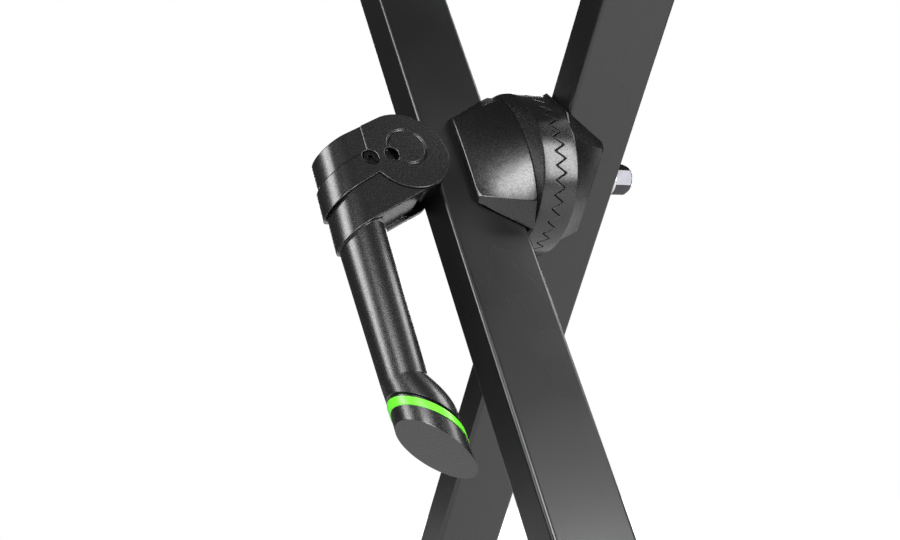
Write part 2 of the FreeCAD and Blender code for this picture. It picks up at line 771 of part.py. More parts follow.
def make_saddle():
    """Pressure saddle on the front leg, which the cam's nose bears on."""
    body = doc.addObject("PartDesign::Body", "saddle")
    outline = new_sketch(body, "saddle_outline", "XY_Plane")
    half = "saddle_wide / 2"
    add_rectangle(outline, "-" + half, SADDLE_FRONT, half, "-" + LEG_FRONT)
    plate = pad(body, outline, "saddle_long")
    doc.recompute()
    front = min(vertex.Point.y for vertex in plate.Shape.Vertexes)
    edges = []
    for index, edge in enumerate(plate.Shape.Edges, start=1):
        if edge.BoundBox.YLength < 1e-6 and abs(edge.BoundBox.YMin - front) < 1e-3:
            edges.append("Edge%d" % index)
    bevel = body.newObject("PartDesign::Chamfer", "saddle_bevel")
    bevel.Base = (plate, edges)
    bind(bevel, Size="saddle_round / 2")
    doc.recompute()
    bore = new_sketch(body, "saddle_bore", "XZ_Plane")
    add_circle(bore, "0", "0", "axle_dia + 2 * free_gap")
    cut_through(body, bore)
    return node(body, "cam_saddle", front_leg)


def make_cam():
    """Two steel lobes beside the bolt's eye: a heel round the pin and an offset nose."""
    lobes = []
    swing = "(acos((cam_nose - cam_heel) / cam_throw))"
    for number_, sign in enumerate(("", "-"), start=1):
        body = doc.addObject("PartDesign::Body", "cam_lobe_%d" % number_)
        near = "(eye_wide / 2 + free_gap)"
        width = "(slot_half - %s)" % near
        sketch = new_sketch(body, "cam_outline_%d" % number_, "YZ_Plane",
                            sign + "(%s + %s / 2)" % (near, width))
        heel_y = "%s + cam_heel * cos(%s)" % (PIN_Y, swing)
        heel_z = "cam_heel * sin(%s)" % swing
        nose_y = "%s + cam_nose * cos(%s)" % (CAM_Y, swing)
        nose_z = "cam_nose * sin(%s)" % swing
        add_outline(sketch, [
            (heel_y, "-" + heel_z),
            (nose_y, "-" + nose_z, CAM_Y + " + cam_nose", "0"),
            (nose_y, nose_z),
            (heel_y, heel_z, PIN_Y + " - cam_heel", "0"),
        ])
        pad(body, sketch, width)
        bore = new_sketch(body, "cam_bore_%d" % number_, "YZ_Plane")
        add_circle(bore, PIN_Y, "0", "pin_dia + 2 * run_gap")
        cut_through(body, bore)
        lobes.append(body)
    node(group("cam_lobes", lobes), "cam_lobes", front_leg)


# ---------------------------------------------------------------- lever

HEAD_FRONT = "(-%s - head_front)" % LEG_FRONT
PLATE_FRONT = "(-%s - plate_front)" % LEG_FRONT
NECK_FRONT = "(%s + neck_back)" % HEAD_FRONT
CAP_FRONT = "(%s + cap_tier_back)" % HEAD_FRONT
END_FRONT = "(-%s - end_front)" % LEG_FRONT
CHEEK_Y = "(-%s - cheek_out)" % LEG_FRONT
WEB_REAR = "(-%s - web_out)" % LEG_FRONT


def tier_plane(name, above):
    """The half space on one side of a tier's plane."""
    return half_space(name + ("_above" if above else "_below"), HEAD_FRONT,
                      "-%s_level" % name.split("_")[-1], name.split("_")[-1] + "_angle", above)


def half_space(name, y, z, angle, above):
    """A large block on one side of a plane that rises along +Y by the angle."""
    item = doc.addObject("Part::Box", name)
    item.Length = FAR
    item.Width = FAR
    item.Height = FAR
    corner = FreeCAD.Vector(-FAR / 2, -FAR / 2, 0 if above else -FAR)
    lean = moved("0", y, z, X_AXIS, angle)
    item.Placement = lean.multiply(FreeCAD.Placement(corner, FreeCAD.Rotation()))
    return item


def column(name, half, front, low, high, rear="0"):
    """An upright column with a half-round front: the plan of the lever's tiers."""
    centre = "(%s + %s)" % (front, half)
    nose = cylinder(name + "_nose", half, "%s - (%s)" % (high, low), moved("0", centre, low))
    side = block(name + "_side", ["-" + half, centre, low], [half, rear, high])
    return join(name, [nose, side])


def side_profile(name, corners, half):
    """A side view outline in the YZ plane, padded to both sides."""
    body = doc.addObject("PartDesign::Body", name)
    sketch = new_sketch(body, name + "_sketch", "YZ_Plane")
    add_outline(sketch, corners)
    pad(body, sketch, "2 * (%s)" % half)
    return body


def screw_place(x):
    return along_x(x, "%s - screw_back" % PIN_Y, "-screw_down")


def make_lever_head():
    """A barrel in front, a plate on each side of the leg, and a round end to each plate."""
    radius = "(cheek_dia / 2)"
    touch_y = "(%s - %s * sin(top_angle))" % (CHEEK_Y, radius)
    touch_z = "(cheek_up + %s * cos(top_angle))" % radius
    top_z = "(%s + (%s - %s) * tan(top_angle))" % (touch_z, HEAD_FRONT, touch_y)
    # where the seam's plane meets the round end
    seam_z = "(-seam_level + (%s - %s) * tan(seam_angle))" % (CHEEK_Y, HEAD_FRONT)
    drop = "((%s - cheek_up) * cos(seam_angle))" % seam_z
    reach = "sqrt(%s * %s - %s * %s)" % (radius, radius, drop, drop)
    meet_y = "(%s - %s * sin(seam_angle) - %s * cos(seam_angle))" % (CHEEK_Y, drop, reach)
    meet_z = "(cheek_up + %s * cos(seam_angle) - %s * sin(seam_angle))" % (drop, reach)
    outline = side_profile("head_outline", [
        (HEAD_FRONT, "-seam_level"),
        (meet_y, meet_z, CHEEK_Y + " + %s * cos(40)" % radius,
         "cheek_up - %s * sin(40)" % radius),
        (touch_y, touch_z),
        (HEAD_FRONT, top_z),
    ], "head_half")
    plan = column("head_plan", "head_half", HEAD_FRONT, "-60", "60")
    shaped = common("head_shaped", [outline, plan, tier_plane("head_lip", True)])

    # the upper tier stands back from the lower one and from the cheek plates
    tier_side = block("cap_tier_side", ["-60", "%s - 5" % HEAD_FRONT, "-60"],
                      ["60", PLATE_FRONT, "60"])
    tier_room = common("cap_tier_room", [tier_plane("tier_cap", True), tier_side])
    tier_plan = column("cap_tier_plan", "cap_tier_half", CAP_FRONT, "-80", "80")
    tier_waste = cut("cap_tier_waste", tier_room, tier_plan)
    stepped = cut("head_stepped", shaped, tier_waste)

    # the space between the cheeks clears the leg, the bolt's eye and the cam
    back = "(%s - slot_back)" % PIN_Y
    deep = "(%s - slot_deep)" % PIN_Y
    slot = side_profile("head_slot", [
        (deep, "40"), ("0", "40"), ("0", "-70"), (back, "-70"), (back, "slot_back"),
        (deep, "slot_deep"),
    ], "slot_half")
    pin_hole = cylinder("head_pin_hole", "pin_dia / 2 + run_gap", "2 * head_half",
                        along_x("-head_half", PIN_Y))
    mouth = cylinder("head_pin_mouth", "pin_hole_dia / 2", "pin_recess + 0.5",
                     along_x("head_half - pin_recess - 0.5", PIN_Y))
    recess = tube("cheek_recess", "recess_dia / 2", "recess_dia / 2 - recess_deep * 1.5",
                  "recess_deep", along_x("head_half - recess_deep",
                                         "-%s - recess_out" % LEG_FRONT, "recess_up"))
    screw_hole = cylinder("head_screw_hole", "screw_dia / 2 + slip", "2 * head_half",
                          screw_place("-head_half"))
    screw_bore = cylinder("head_screw_bore", "screw_head_dia / 2 + 0.6",
                          "screw_head_high + 0.4", screw_place("head_half - screw_head_high - 0.4"))
    nut_bore = cylinder("head_nut_bore", "screw_head_dia / 2 + 0.6", "screw_head_high",
                        screw_place("-head_half"))
    mortise = tenon_block("head_mortise", "slip")
    waste = join("head_waste", [slot, pin_hole, mouth, recess, screw_hole, screw_bore,
                                nut_bore, mortise])
    return node(cut("head_cut", stepped, waste), "lever_head", front_leg)


def tenon_block(name, gap):
    """The grip's tenon, or with a gap the head's mortise for it."""
    front = "(%s + tenon_inset)" % HEAD_FRONT
    rear = "(%s - tenon_back)" % PIN_Y
    top = "(-seam_level + tenon_high)"
    return block(name, ["-tenon_half - %s" % gap, "%s - %s" % (front, gap), "-60"],
                 ["tenon_half + %s" % gap, "%s + %s" % (rear, gap), "%s + %s" % (top, gap)])


def ellipse_section(name, rear_half, side_half, y, z):
    item = doc.addObject("Part::Ellipse", name)
    bind(item, MajorRadius=rear_half, MinorRadius=side_half)
    item.Placement = moved("0", y, z, Z_AXIS, 90)
    return item


def loft(name, sections, ruled):
    item = doc.addObject("Part::Loft", name)
    item.Sections = sections
    item.Solid = True
    item.Ruled = ruled
    return item


GRIP_Y = "(-%s - grip_out)" % LEG_FRONT
GRIP_LOW_Y = "(%s + grip_low_in)" % GRIP_Y


def end_body(name, proud):
    """The grip's end: a round grip that swells to an oval towards the leg."""
    low = "grip_low_dia / 2"
    steps = [(0.0, 0.0), (0.25, 0.38), (0.5, 0.77), (0.75, 0.94), (1.0, 0.98),
             (1.25, 1.0), (1.7, 1.0), (2.2, 1.0)]
    sections = []
    for index, (drop, share) in enumerate(steps):
        rear_half = "(%s + flare_rear * %s + %s)" % (low, share, proud)
        side_half = "(%s + flare_side * %s + %s)" % (low, share, proud)
        middle = "(%s + flare_shift * %s)" % (GRIP_LOW_Y, share)
        sections.append(ellipse_section("%s_%d" % (name, index), rear_half, side_half,
                                        middle, "-flare_start - flare_long * %s" % drop))
    return loft(name, sections, False)


def end_space(name, level, angle, above):
    """The half space above or below a slanted plane through the grip's end."""
    return half_space(name, END_FRONT, "-(%s)" % level, "-" + angle, above)


def make_lever_grip():
    neck_plan = column("neck_plan", "neck_half", NECK_FRONT, "-80", "10", WEB_REAR)
    slab = common("neck_slab", [neck_plan, tier_plane("neck_lip", True),
                                tier_plane("neck_seam", False)])
    round_end = cylinder("neck_disc", "cheek_dia / 2 + joint_gap", "4 * head_half",
                         along_x("-2 * head_half", CHEEK_Y, "cheek_up"))
    middle = block("neck_middle", ["-web_half", PIN_Y + " - slot_back", "-80"],
                   ["web_half", "0", "40"])
    sides = cut("neck_sides", cut("neck_rough", slab, round_end), middle)
    # the web between the cheeks, with a shallow recess under it
    web_room = block("web_room", ["-web_half", PIN_Y + " - slot_back - 1", "-80"],
                     ["web_half", "0", "-web_top"])
    web = common("neck_web", [slab, web_room])
    neck_whole = join("neck_whole", [sides, web])
    under = half_space("web_under", HEAD_FRONT, "-lip_level + web_recess / cos(lip_angle)",
                       "lip_angle", False)
    under_room = block("web_under_room", ["-web_half", GRIP_Y + " + 5", "-80"],
                       ["web_half", "0", "0"])
    neck = cut("neck", neck_whole, common("web_hollow", [under, under_room]))

    top = ellipse_section("grip_top", "grip_top_dia / 2", "grip_top_dia / 2",
                          GRIP_Y, "-seam_level")
    low = ellipse_section("grip_low", "grip_low_dia / 2", "grip_low_dia / 2",
                          GRIP_LOW_Y, "-flare_start")
    handle = loft("grip_handle", [top, low], True)
    handle_room = half_space("handle_room", HEAD_FRONT, "-lip_level + 3", "lip_angle", False)
    handle_cut = common("grip_handle_cut", [handle, handle_room])

    swell = end_body("grip_swell", "0")
    swell_cut = common("grip_swell_cut",
                       [swell, end_space("grip_end_room", "ring_top", "ring_angle", True)])
    tenon_room = half_space("tenon_room", HEAD_FRONT, "-lip_level + 6", "lip_angle", True)
    tenon = common("grip_tenon", [tenon_block("tenon_raw", "0"), tenon_room])
    solid = join("grip_solid", [neck, handle_cut, swell_cut, tenon])
    screw_hole = cylinder("grip_screw_hole", "screw_dia / 2 + slip", "2 * head_half",
                          screw_place("-head_half"))
    waste = join("grip_waste", [spigot("grip_spigot_hole", "slip"), screw_hole])
    return node(cut("grip_cut", solid, waste), "lever_grip", front_leg)


def spigot(name, gap):
    """The end cap's spigot, or with a gap the hole for it, drawn long to be cut off."""
    top = "(-flare_start - 4 + %s)" % gap
    place = moved("0", "%s + flare_shift / 2" % GRIP_LOW_Y, "-2 * flare_start")
    return cylinder(name, "spigot_dia / 2 + %s" % gap, "%s + 2 * flare_start" % top, place)


def make_grip_end():
    ring_low = "ring_top + ring_thick"
    ring = common("ring_slab", [
        end_body("ring_oval", "ring_proud"),
        end_space("ring_above", ring_low, "ring_angle", True),
        end_space("ring_below", "ring_top", "ring_angle", False)])
    node(cut("ring_cut", ring, spigot("ring_spigot_hole", "slip")), "accent_ring", front_leg)

    slab = common("cap_slab", [end_body("cap_oval", "0"),
                               end_space("cap_below", ring_low, "ring_angle", False)])
    long_cap = join("cap_long", [slab, spigot("cap_spigot", "0")])
    cap = common("cap_solid", [long_cap, end_space("cap_above", "end_face", "face_angle", True)])
    node(cap, "grip_end_cap", front_leg)


def make_head_screw():
    """Socket screw across the head, and its nut in the far cheek."""
    under = "(head_half - screw_head_high - 0.4)"
    length = "(%s + head_half - 0.4)" % under
    head = cylinder("screw_cap", "screw_head_dia / 2", "screw_head_high", screw_place(under))
    stem = cylinder("screw_stem", "screw_dia / 2", length, screw_place("-head_half + 0.4"))
    key = hex_socket("screw_key", "screw_dia * 0.7", "screw_head_high * 0.6",
                     screw_place(under + " + screw_head_high * 0.4"))
    node(cut("screw_cut", join("screw_solid", [head, stem]), key), "head_screw", front_leg)
    body = hex_socket("screw_nut_hex", "screw_head_dia - 0.6", "screw_head_high - 0.4",
                      screw_place("-head_half + 0.4"))
    hole = cylinder("screw_nut_hole", "screw_dia / 2 + slip", "screw_head_high",
                    screw_place("-head_half + 0.2"))
    node(cut("screw_nut_cut", body, hole), "head_screw_nut", front_leg)


# ---------------------------------------------------------------- the stand

for side in ("front", "rear"):
    make_leg(side)
    make_clutch_body(side)
    make_bush(side)
    for kind in ("foot", "arm"):
        make_joint(kind, side)
        make_bar(kind, side)
    make_joint_bolts(side)
    make_set_screws(side)
    make_foot_caps(side)
    make_arm_pads(side)
    make_arm_stops(side)

# groove angles are measured from +X towards +Z, seen along +Y's far side
front_ring = at_axle.multiply(moved(axis=X_AXIS, angle=90)).multiply(
    moved(axis=Z_AXIS, angle="tooth_phase"))
rear_ring = at_axle.multiply(moved(axis=X_AXIS, angle=-90)).multiply(
    moved(axis=Z_AXIS, angle="-tooth_phase - 180 / tooth_count"))
make_toothed_ring("toothed_ring_front", "free_gap", front_ring)
make_toothed_ring("toothed_ring_rear", "slip", rear_ring)
make_release_spring()
make_axle_bolt()
make_cross_pin()
make_washer_and_nut()
make_saddle()
make_cam()
make_lever_head()
make_lever_grip()
make_grip_end()
make_head_screw()
doc.recompute()

faults = ["%s (%s): %s" % (item.Name, item.Label, item.getStatusString())
          for item in doc.Objects if "Invalid" in item.State or "Error" in item.State]
for item in nodes:
    if item.Shape.isNull() or not item.Shape.isValid() or not item.Shape.Solids:
        faults.append("%s has no valid solid" % item.Label)
if faults:
    raise RuntimeError("; ".join(faults))

os.makedirs("parts", exist_ok=True)
for item in nodes:
    item.Shape.exportStep(os.path.join("parts", item.Label + ".step"))
    print("%-22s %d solid(s) %10.1f mm3" % (
        item.Label, len(item.Shape.Solids), item.Shape.Volume))
print("%d nodes, axle %.1f mm above the floor" % (len(nodes), number(AXLE_HEIGHT)))
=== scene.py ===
import bpy
import bmesh
import json
import math
from mathutils import Matrix, Vector


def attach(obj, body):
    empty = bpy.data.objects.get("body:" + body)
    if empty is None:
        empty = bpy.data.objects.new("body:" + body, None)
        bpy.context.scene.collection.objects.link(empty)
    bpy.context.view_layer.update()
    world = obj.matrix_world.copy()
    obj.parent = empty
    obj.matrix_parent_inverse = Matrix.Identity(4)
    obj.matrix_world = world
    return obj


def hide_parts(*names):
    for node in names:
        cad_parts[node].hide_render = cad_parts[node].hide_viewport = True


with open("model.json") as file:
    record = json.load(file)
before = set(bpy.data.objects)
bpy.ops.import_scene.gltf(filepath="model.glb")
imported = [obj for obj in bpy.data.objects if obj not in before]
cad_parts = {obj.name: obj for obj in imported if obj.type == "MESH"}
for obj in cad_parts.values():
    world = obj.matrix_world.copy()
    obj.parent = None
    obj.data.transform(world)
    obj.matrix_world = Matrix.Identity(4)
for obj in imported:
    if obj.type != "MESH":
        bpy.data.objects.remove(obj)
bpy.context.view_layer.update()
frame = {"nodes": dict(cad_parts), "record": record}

# ---------------------------------------------------------------- places, in metres

HALF_ANGLE = math.radians(32.0)
AXLE_HEIGHT = 0.428326

# The front leg's own frame: +Z up the leg, +X out of its wide face, +Y along the axle.
# The lever hangs down along its -Z.
FRONT_LEG = Matrix.Translation((0, 0, AXLE_HEIGHT)) @ Matrix.Rotation(-HALF_ANGLE, 4, "Y")

BODY_OF = {node: body for body, nodes in frame["record"]["behaviour"]["bodies"].items()
           for node in nodes}
SLOT_OF = {part["node"]: part["material_slot"] for part in frame["record"]["subparts"]}


# ---------------------------------------------------------------- materials

def linear(hex_colour):
    """An sRGB hex colour as linear RGBA."""
    channels = [int(hex_colour[i:i + 2], 16) / 255 for i in (0, 2, 4)]
    return [c / 12.92 if c <= 0.04045 else ((c + 0.055) / 1.055) ** 2.4
            for c in channels] + [1.0]


def add(tree, kind, links=None, **settings):
    """Adds a node.  Settings set its properties, or its inputs by name with _ for space,
    and links joins inputs to the outputs of other nodes."""
    node = tree.nodes.new(kind)
    for key, value in settings.items():
        if hasattr(node, key):
            setattr(node, key, value)
        else:
            node.inputs[key.replace("_", " ")].default_value = value
    for key, source in (links or {}).items():
        tree.links.new(node.inputs[key], source)
    return node


def new_material(name, colour, roughness, **settings):
    """A material with its shader's plain values, its node tree and its place on the piece."""
    material = bpy.data.materials.new(name)
    material.use_nodes = True
    tree = material.node_tree
    shader = tree.nodes["Principled BSDF"]
    shader.inputs["Base Color"].default_value = linear(colour)
    shader.inputs["Roughness"].default_value = roughness
    for key, value in settings.items():
        shader.inputs[key.replace("_", " ")].default_value = value
    place = add(tree, "ShaderNodeTexCoord").outputs["Object"]
    return material, tree, shader, place


def colour_range(tree, factor, low, high):
    """Two sRGB colours mixed by a factor."""
    ramp = add(tree, "ShaderNodeValToRGB", {"Fac": factor})
    ramp.color_ramp.elements[0].color = linear(low)
    ramp.color_ramp.elements[1].color = linear(high)
    return ramp.outputs["Color"]


def powder_coated_steel():
    """Black polyester powder: a satin gloss over a fine orange peel, 1.2 mm across.
    Faint haze a hand wide keeps long faces from looking drawn."""
    material, tree, shader, place = new_material("powder_coated_steel", "0B0B0C", 0.3, IOR=1.5)
    haze = add(tree, "ShaderNodeTexNoise", {"Vector": place}, Scale=1 / 0.09, Detail=3.0)
    tree.links.new(shader.inputs["Base Color"],
                   colour_range(tree, haze.outputs["Fac"], "09090A", "0E0E0F"))
    gloss = add(tree, "ShaderNodeMapRange", {"Value": haze.outputs["Fac"]},
                From_Min=0.3, From_Max=0.7, To_Min=0.25, To_Max=0.33)
    tree.links.new(shader.inputs["Roughness"], gloss.outputs["Result"])
    peel = add(tree, "ShaderNodeTexNoise", {"Vector": place}, Scale=1 / 0.0012, Detail=2.0)
    bump = add(tree, "ShaderNodeBump", {"Height": peel.outputs["Fac"]},
               Strength=0.08, Distance=0.0002)
    tree.links.new(shader.inputs["Normal"], bump.outputs["Normal"])
    return material


def painted_die_casting():
    """Die-cast aluminium in gloss black paint: the wet paint has drawn smooth over the
    casting skin, whose soft unevenness, 6 mm across, still bends the highlights.  Specks
    of 0.9 mm, drawn coarser than real dust so that they show, dull them here and there."""
    material, tree, shader, place = new_material("painted_die_casting", "0A0A0B", 0.22, IOR=1.5)
    skin = add(tree, "ShaderNodeTexNoise", {"Vector": place}, Scale=1 / 0.006, Detail=2.0)
    tree.links.new(shader.inputs["Base Color"],
                   colour_range(tree, skin.outputs["Fac"], "080809", "0D0D0E"))
    dust = add(tree, "ShaderNodeTexNoise", {"Vector": place}, Scale=1 / 0.0009, Detail=1.0)
    gloss = add(tree, "ShaderNodeMapRange", {"Value": dust.outputs["Fac"]},
                From_Min=0.35, From_Max=0.75, To_Min=0.24, To_Max=0.32)
    tree.links.new(shader.inputs["Roughness"], gloss.outputs["Result"])
    bump = add(tree, "ShaderNodeBump", {"Height": skin.outputs["Fac"]},
               Strength=0.1, Distance=0.0004)
    tree.links.new(shader.inputs["Normal"], bump.outputs["Normal"])
    return material


def glass_filled_nylon():
    """Glass-filled nylon from a spark-eroded mould: a leathery grain 0.6 mm across, whose
    tops are polished by hands and glitter in the light."""
    material, tree, shader, place = new_material("glass_filled_nylon", "131314", 0.3, IOR=1.53)
    grain = add(tree, "ShaderNodeTexNoise", {"Vector": place}, Scale=1 / 0.0006, Detail=3.0)
    tree.links.new(shader.inputs["Base Color"],
                   colour_range(tree, grain.outputs["Fac"], "0C0C0D", "161617"))
    gloss = add(tree, "ShaderNodeMapRange", {"Value": grain.outputs["Fac"]},
                From_Min=0.35, From_Max=0.65, To_Min=0.34, To_Max=0.22)
    tree.links.new(shader.inputs["Roughness"], gloss.outputs["Result"])
    bump = add(tree, "ShaderNodeBump", {"Height": grain.outputs["Fac"]},
               Strength=0.14, Distance=0.00015)
    tree.links.new(shader.inputs["Normal"], bump.outputs["Normal"])
    return material


def moulded_nylon(name, grain_size, roughness):
    """Nylon from a blasted mould: an even grain, as wide as the blasting's grit, that
    spreads every highlight into a dull sheen."""
    material, tree, shader, place = new_material(name, "131314", roughness, IOR=1.53)
    grain = add(tree, "ShaderNodeTexNoise", {"Vector": place}, Scale=1 / grain_size, Detail=2.0)
    tree.links.new(shader.inputs["Base Color"],
                   colour_range(tree, grain.outputs["Fac"], "0F0F10", "18181A"))
    bump = add(tree, "ShaderNodeBump", {"Height": grain.outputs["Fac"]},
               Strength=0.3, Distance=0.0002)
    tree.links.new(shader.inputs["Normal"], bump.outputs["Normal"])
    return material


def lime_polymer():
    """Translucent lime polymer, clouded in patches of 8 mm: light that enters the ring softens
    it from inside, and a faint emission paints a glow onto it; its soft gloss pales where it
    mirrors a light."""
    material, tree, shader, place = new_material(
        "lime_polymer", "55C022", 0.28, IOR=1.49, Subsurface_Weight=0.3,
        Subsurface_Scale=0.002)
    shader.inputs["Subsurface Radius"].default_value = (0.6, 1.0, 0.2)
    # Painted glow: a faint lime emission makes the ring give off light of its own.
    shader.inputs["Emission Color"].default_value = linear("58E020")
    shader.inputs["Emission Strength"].default_value = 0.04
    cloud = add(tree, "ShaderNodeTexNoise", {"Vector": place}, Scale=1 / 0.008, Detail=2.0)
    tree.links.new(shader.inputs["Base Color"],
                   colour_range(tree, cloud.outputs["Fac"], "4CB81E", "62CC2C"))
    return material


def natural_rubber():
    """Natural rubber: dull and very dark, with a mould's fine blasting and a grey bloom
    in soft patches 20 mm across."""
    material, tree, shader, place = new_material("natural_rubber", "161616", 0.7, IOR=1.52)
    bloom = add(tree, "ShaderNodeTexNoise", {"Vector": place}, Scale=1 / 0.02, Detail=4.0)
    tree.links.new(shader.inputs["Base Color"],
                   colour_range(tree, bloom.outputs["Fac"], "111111", "1E1E1E"))
    grain = add(tree, "ShaderNodeTexNoise", {"Vector": place}, Scale=1 / 0.0005, Detail=2.0)
    bump = add(tree, "ShaderNodeBump", {"Height": grain.outputs["Fac"]},
               Strength=0.35, Distance=0.0002)
    tree.links.new(shader.inputs["Normal"], bump.outputs["Normal"])
    return material


def plated_steel(name, dark, light, roughness, streak):
    """Plated steel: mirror-like, broken by tool marks as wide as the streak."""
    material, tree, shader, place = new_material(name, light, roughness, Metallic=1.0)
    marks = add(tree, "ShaderNodeTexNoise", {"Vector": place}, Scale=1 / streak, Detail=4.0)
    tree.links.new(shader.inputs["Base Color"],
                   colour_range(tree, marks.outputs["Fac"], dark, light))
    gloss = add(tree, "ShaderNodeMapRange", {"Value": marks.outputs["Fac"]}, From_Min=0.3,
                From_Max=0.7, To_Min=roughness * 0.8, To_Max=roughness * 1.3)
    tree.links.new(shader.inputs["Roughness"], gloss.outputs["Result"])
    return material


FINISHES = {
    "coated_steel": powder_coated_steel(),
    "black_casting": painted_die_casting(),
    "black_lever": glass_filled_nylon(),
    "lime_ring": lime_polymer(),
    "black_nylon": moulded_nylon("moulded_nylon", 0.0005, 0.4),
    "joint_nylon": moulded_nylon("blasted_nylon", 0.0008, 0.46),
    "black_rubber": natural_rubber(),
    "dark_chrome": plated_steel("black_chrome_plate", "2C2C2E", "424246", 0.14, 0.004),
    "axle_steel": plated_steel("zinc_plated_steel", "A4A6A9", "C2C4C7", 0.28, 0.003),
    "zinc_fasteners": plated_steel("bright_zinc_plate", "ACAEB2", "C8CACD", 0.24, 0.002),
    "black_screw": plated_steel("black_oxide_steel", "202022", "303033", 0.32, 0.002),
    "spring_steel": plated_steel("oiled_spring_wire", "86888C", "A6A8AC", 0.3, 0.003),
    "bush_metal": plated_steel("turned_steel", "98999C", "B4B5B8", 0.28, 0.001),
}

for part in frame["record"]["subparts"]:
    cad = frame["nodes"][part["node"]]
    cad.data.materials.clear()
    cad.data.materials.append(FINISHES[part["material_slot"]])


# ---------------------------------------------------------------- pieces

SHARP_EDGE = math.radians(35.0)


def finish_piece(shape, node, smooth_angle=32.0, slot=None):
    """Makes the form a piece that takes the place of a CAD node on its body.  Edges above
    the smooth angle, in degrees, stay crisp.  A piece may take another slot's finish."""
    name = node + "_finished"
    slot = slot or SLOT_OF[node]
    mesh = bpy.data.meshes.new(name)
    shape.to_mesh(mesh)
    shape.free()
    piece = bpy.data.objects.new(name, mesh)
    bpy.context.scene.collection.objects.link(piece)
    mesh.materials.append(FINISHES[slot])
    mesh.shade_smooth()
    mesh.set_sharp_from_angle(angle=math.radians(smooth_angle))
    flat = piece.modifiers.new("flat_faces_shade_flat", "WEIGHTED_NORMAL")
    flat.keep_sharp = True
    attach(piece, BODY_OF[node])
    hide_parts(node)


def merged_copy(node):
    """A copy of a node's mesh with its triangles joined and flat faces made whole."""
    shape = bmesh.new()
    shape.from_mesh(frame["nodes"][node].data)
    bmesh.ops.remove_doubles(shape, verts=shape.verts, dist=2e-6)
    bmesh.ops.dissolve_limit(shape, angle_limit=math.radians(0.4), verts=shape.verts,
                             edges=shape.edges, use_dissolve_boundaries=False)
    return shape


def round_edges(shape, width):
    """Rounds the shape's sharp edges."""
    sharp = [edge for edge in shape.edges if edge.is_manifold
             and edge.calc_face_angle(0.0) > SHARP_EDGE]
    bmesh.ops.bevel(shape, geom=sharp, offset=width, offset_type="OFFSET", affect="EDGES",
                    segments=3, profile=0.5, material=-1, clamp_overlap=False)


# The built solids with the edges that a mould, a casting or a press leaves on them.  Each
# is a node and the width of its rounding.
ROUNDED = [
    ("lever_head", 0.0005), ("clutch_body_front", 0.0006), ("clutch_body_rear", 0.0006),
    ("cap_nut", 0.0004), ("cross_pin", 0.0004), ("head_screw", 0.0002),
    ("rear_washer", 0.0002), ("cam_saddle", 0.0003),
]
for side in ("front", "rear"):
    ROUNDED += [("foot_joint_" + side, 0.0012), ("arm_joint_" + side, 0.0012),
                ("arm_pads_" + side, 0.0012), ("arm_stops_" + side, 0.0015),
                ("foot_caps_" + side, 0.0006), ("joint_bolts_" + side, 0.0003),
                ("joint_nuts_" + side, 0.0004)]
for node, width in ROUNDED:
    rounded = merged_copy(node)
    round_edges(rounded, width)
    # The cross pin's end is blackened like the screw beside it.
    finish_piece(rounded, node, slot="black_screw" if node == "cross_pin" else None)

# ---------------------------------------------------------------- grip

OVAL_SIDES = 128
# The handle's ovals above the flare, each as draw_oval takes them.
HANDLE_ROWS = [(0.036, -0.09371, 0.01166, 0.01166), (0.0747, -0.09312, 0.01092, 0.01092),
               (0.1118, -0.092553, 0.010208, 0.010208)]
GRIP_MIDDLE = -0.09255        # along the axle, where the flare starts
GRIP_RADIUS = 0.0102          # at the same place
FLARE_START = 0.112           # depth down the lever
FLARE_LONG = 0.02
FLARE_SHIFT = 0.005           # the oval's middle moves to the leg
FLARE_ALONG = 0.0037          # and its half length and half width grow
FLARE_ACROSS = 0.0029
TAIL_START = 0.135            # below this depth the leg's side goes on swelling
TAIL_GROWTH = 0.0008          # over a length of FLARE_LONG

# Slanted planes, each given by its depth at the front of the grip's end.
END_FRONT = -0.1036
RING_ANGLE = math.radians(34.9)
FACE_ANGLE = math.radians(41.0)
HANDLE_END = 0.1171
CORE_END = 0.1210
RING_TOP = 0.1192
RING_END = 0.1230
CAP_TOP = 0.1227
CAP_FACE = 0.1290
GROOVE_DEEP = 0.0012
RING_PROUD = 0.00035

# The lower lip of the neck, where the CAD's handle is cut off.
LIP_POINT = (0, -0.1087, -0.04568)
LIP_ANGLE = math.radians(28.8)


def draw_oval(shape, rows):
    """A closed form drawn out of ovals.  Each row is the depth down the lever, the
    oval's middle, its half length along the axle and its half width across it."""
    last = None
    for depth, middle, along, across in rows:
        if last:
            made = bmesh.ops.extrude_edge_only(shape, edges=edges)
            edges = [item for item in made["geom"] if isinstance(item, bmesh.types.BMEdge)]
            verts = list({vert for edge in edges for vert in edge.verts})
            bmesh.ops.translate(shape, verts=verts, vec=(0, -last[1], last[0]))
            bmesh.ops.scale(shape, verts=verts, vec=(across / last[3], along / last[2], 1.0))
        else:
            verts = bmesh.ops.create_circle(shape, segments=OVAL_SIDES, radius=1.0,
                                            cap_ends=True)["verts"]
            edges = list(shape.edges)
            bmesh.ops.scale(shape, verts=verts, vec=(across, along, 1.0))
        bmesh.ops.translate(shape, verts=verts, vec=(0, middle, -depth))
        last = (depth, middle, along, across)
    bmesh.ops.contextual_create(shape, geom=edges)
    bmesh.ops.recalc_face_normals(shape, faces=shape.faces)


def end_oval(depth, proud=0.0):
    """The grip's oval at a depth: round down to the flare, then swelling to the leg."""
    turn = min(1.0, max(0.0, (depth - FLARE_START) / FLARE_LONG))
    share = math.sin(math.pi / 2 * turn)
    late = max(0.0, (depth - TAIL_START) / FLARE_LONG) * TAIL_GROWTH
    return (depth, GRIP_MIDDLE + FLARE_SHIFT * share + late,
            GRIP_RADIUS + FLARE_ALONG * share + late + proud,
            GRIP_RADIUS + FLARE_ACROSS * share + proud)


